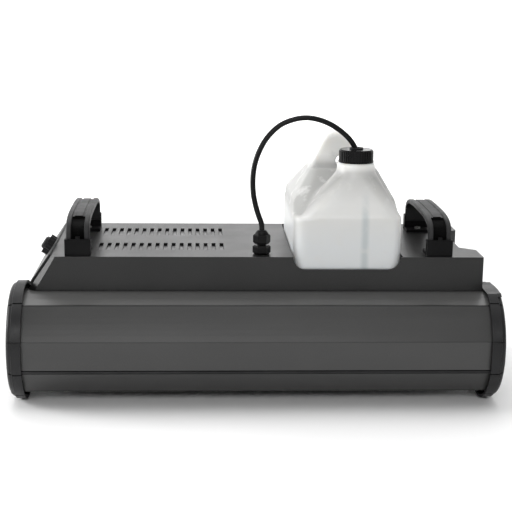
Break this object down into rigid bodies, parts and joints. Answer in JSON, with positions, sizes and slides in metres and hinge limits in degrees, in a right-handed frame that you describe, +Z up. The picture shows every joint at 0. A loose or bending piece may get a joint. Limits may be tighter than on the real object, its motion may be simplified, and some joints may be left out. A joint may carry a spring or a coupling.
{
  "type": "fog machine",
  "caption": "Floor-standing stage fog machine: a round heater barrel with end caps, a vented housing, carrying handles, a lift-out fluid bottle and a looped feed hose.",
  "frame": {"origin": "middle of the bounding box, on the floor", "axes": "+X along the barrel towards the control end, +Y to the rear of the machine, +Z up"},
  "size_m": [0.6, 0.289, 0.3488],
  "materials": {
    "black_steel": "fine-textured black powder coat",
    "raw_steel": "plain folded sheet",
    "black_extrusion": "satin black anodised extrusion",
    "black_rubber": "matt",
    "black_plastic": "moulded, satin",
    "grey_plastic": "moulded, satin",
    "nylon": "ribbed nylon",
    "jug": "translucent polyethylene, full of clear fluid",
    "clear_tube": "translucent soft tube",
    "hose": "smooth, satin",
    "aluminium": "as cast",
    "bright_steel": "zinc plated",
    "steel": "machined",
    "brass": "turned",
    "wool": "ceramic fibre blanket",
    "board": "glass-epoxy board",
    "red_plastic": "lit rocker",
    "lamp": "clear lens"
  },
  "bodies": {
    "housing": {"housing_cover": "black_steel", "bottle_tray": "black_steel", "chassis_tray": "black_steel", "rubber_feet": "black_rubber", "cover_screws": "bright_steel", "barrel_front_shell": "black_extrusion", "barrel_lower_shell": "black_extrusion", "barrel_rear_shell": "black_extrusion", "barrel_seam_strips": "black_rubber", "left_bulkhead": "raw_steel", "right_bulkhead": "raw_steel", "left_cap": "black_plastic", "right_cap": "black_plastic", "cap_screws": "bright_steel", "nozzle_plate": "steel", "fog_nozzle": "brass", "heater_block": "aluminium", "heater_rods": "steel", "insulation_sleeve": "wool", "heater_cradles": "raw_steel", "thermostat": "bright_steel", "feed_pipe": "brass", "pump_body": "black_plastic", "pump_bracket": "raw_steel", "suction_tube": "clear_tube", "control_board": "board", "board_spacers": "brass", "power_relay": "grey_plastic", "control_panel": "black_steel", "panel_screws": "bright_steel", "mains_inlet": "black_plastic", "rocker_frame": "black_plastic", "fuse_base": "black_plastic", "remote_socket": "steel", "ready_lamp": "lamp", "left_handle_feet": "grey_plastic", "right_handle_feet": "grey_plastic", "handle_screws": "bright_steel", "gland_body": "nylon", "gland_nut": "nylon", "end_plate_gasket": "black_rubber", "end_plate": "black_steel", "knob_stud": "bright_steel", "fluid_hose": "hose"},
    "bottle": {"bottle": "jug", "hose_grommet": "black_rubber", "dip_tube": "clear_tube", "tube_filter": "steel"},
    "cap": {"bottle_cap": "nylon"},
    "left_handle": {"left_handle_strap": "black_rubber"},
    "right_handle": {"right_handle_strap": "black_rubber"},
    "knob": {"clamp_knob": "black_plastic"},
    "rocker": {"power_rocker": "red_plastic"},
    "fuse": {"fuse_cap": "black_plastic"},
    "plunger": {"pump_plunger": "steel"}
  },
  "joints": [
    {"name": "bottle_lift", "type": "slide", "parent": "housing", "child": "bottle", "axis": [0, 0, 1], "range_m": [0, 0.06], "deforming": ["fluid_hose"]},
    {"name": "cap_turn", "type": "hinge", "parent": "bottle", "child": "cap", "pos_m": [0.1244, -0.0335, 0.29], "axis": [0, 0, 1], "range_deg": [0, 450]},
    {"name": "left_handle_slide", "type": "slide", "parent": "housing", "child": "left_handle", "axis": [0, 0, 1], "range_m": [-0.01, 0]},
    {"name": "right_handle_slide", "type": "slide", "parent": "housing", "child": "right_handle", "axis": [0, 0, 1], "range_m": [-0.01, 0]},
    {"name": "knob_turn", "type": "hinge", "parent": "housing", "child": "knob", "pos_m": [-0.25495, 0.0005, 0.17285], "axis": [-0.831, 0, 0.5563], "range_deg": [0, 720]},
    {"name": "rocker_tilt", "type": "hinge", "parent": "housing", "child": "rocker", "pos_m": [0.2618, 0.024, 0.138], "axis": [0, 1, 0], "range_deg": [0, 22]},
    {"name": "fuse_turn", "type": "hinge", "parent": "housing", "child": "fuse", "pos_m": [0.2648, 0.06, 0.082], "axis": [1, 0, 0], "range_deg": [0, 60]},
    {"name": "plunger_slide", "type": "slide", "parent": "housing", "child": "plunger", "axis": [1, 0, 0], "range_m": [-0.003, 0.003], "stiffness_N_per_m": 300}
  ]
}
